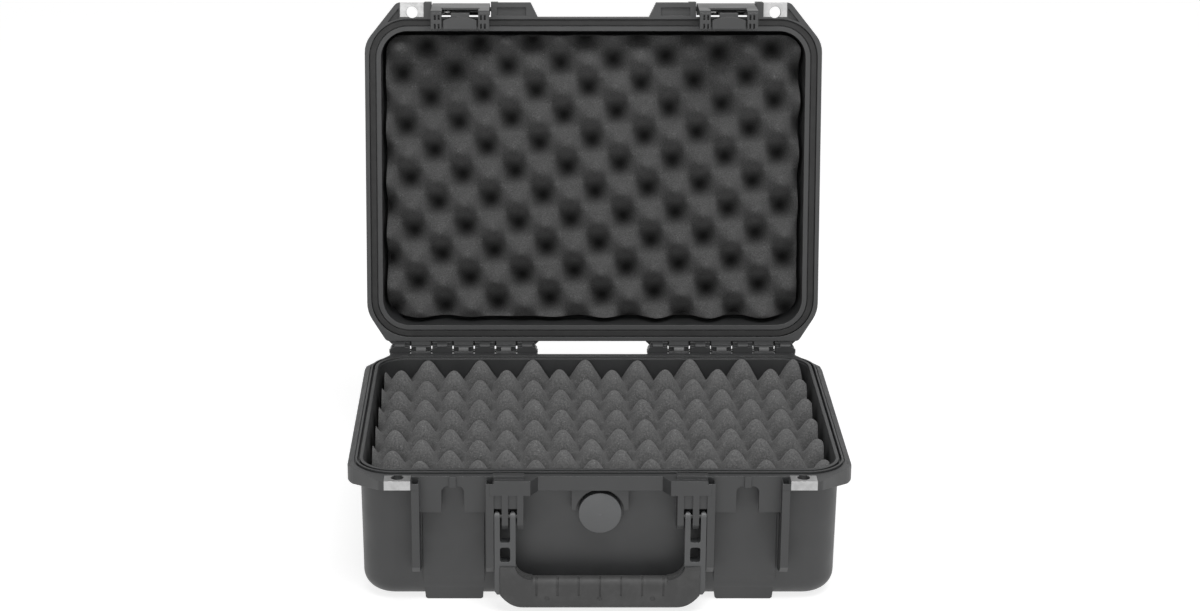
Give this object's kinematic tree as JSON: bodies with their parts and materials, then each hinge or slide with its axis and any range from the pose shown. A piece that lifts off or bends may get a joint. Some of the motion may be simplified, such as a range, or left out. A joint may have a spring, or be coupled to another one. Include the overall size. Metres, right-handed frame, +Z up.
{
  "type": "microphone case",
  "caption": "Hard moulded equipment case with a hinged lid, trigger latches, a drop handle, a pressure valve, padlock eyes and convoluted foam in base and lid.",
  "frame": {"origin": "on the floor under the middle of the object's outline, between the handle's face at the front and the open lid's back", "axes": "+Z up; the front with the latches' catches, the handle and the valve faces -Y; +X to the right seen from the front; the lid is stored open at its stop"},
  "size_m": [0.427, 0.4294, 0.4448],
  "materials": {
    "case": "moulded, fine satin texture",
    "latch": "moulded, satin",
    "grip": "soft overmould, matt",
    "valve": "moulded, satin",
    "seal": "matt",
    "membrane": "porous film",
    "base_foam": "open-cell polyurethane foam, grey",
    "lid_foam": "open-cell polyurethane foam, dark grey",
    "plate_steel": "bright stainless",
    "pin_steel": "plain stainless"
  },
  "bodies": {
    "base": {"base_shell": "case", "base_foam_block": "base_foam", "base_foam_crate": "base_foam", "hinge_pin_left": "pin_steel", "hinge_pin_right": "pin_steel", "handle_pin_left": "pin_steel", "handle_pin_right": "pin_steel", "padlock_plate_base_left": "plate_steel", "padlock_plate_base_right": "plate_steel", "valve_body": "valve", "valve_cap": "valve", "valve_seal": "seal", "valve_nut": "valve", "valve_membrane": "membrane"},
    "lid": {"lid_shell": "case", "lid_gasket": "seal", "lid_foam_crate": "lid_foam", "padlock_plate_lid_left": "plate_steel", "padlock_plate_lid_right": "plate_steel", "latch_pin_left": "pin_steel", "latch_pin_right": "pin_steel"},
    "handle": {"handle_frame": "latch", "handle_grip": "grip"},
    "latch_left": {"latch_body_left": "latch", "trigger_pin_left": "pin_steel", "trigger_spring_left": "pin_steel"},
    "trigger_left": {"latch_trigger_left": "latch"},
    "latch_right": {"latch_body_right": "latch", "trigger_pin_right": "pin_steel", "trigger_spring_right": "pin_steel"},
    "trigger_right": {"latch_trigger_right": "latch"}
  },
  "joints": [
    {"name": "lid_hinge", "type": "hinge", "parent": "base", "child": "lid", "pos_m": [0, 0.11554, 0.12], "axis": [1, 0, 0], "range_deg": [0, 99.5]},
    {"name": "handle_hinge", "type": "hinge", "parent": "base", "child": "handle", "pos_m": [0, -0.20821, 0.0868], "axis": [-1, 0, 0], "range_deg": [0, 100]},
    {"name": "latch_left_hinge", "type": "hinge", "parent": "lid", "child": "latch_left", "pos_m": [-0.1234, 0.1781, 0.43626], "axis": [-1, 0, 0], "range_deg": [0, 95]},
    {"name": "trigger_left_hinge", "type": "hinge", "parent": "latch_left", "child": "trigger_left", "pos_m": [-0.1234, 0.15528, 0.43927], "axis": [-1, 0, 0], "range_deg": [0, 10], "stiffness_Nm_per_rad": 0.03},
    {"name": "latch_right_hinge", "type": "hinge", "parent": "lid", "child": "latch_right", "pos_m": [0.1234, 0.1781, 0.43626], "axis": [-1, 0, 0], "range_deg": [0, 95]},
    {"name": "trigger_right_hinge", "type": "hinge", "parent": "latch_right", "child": "trigger_right", "pos_m": [0.1234, 0.15528, 0.43927], "axis": [-1, 0, 0], "range_deg": [0, 10], "stiffness_Nm_per_rad": 0.03}
  ]
}
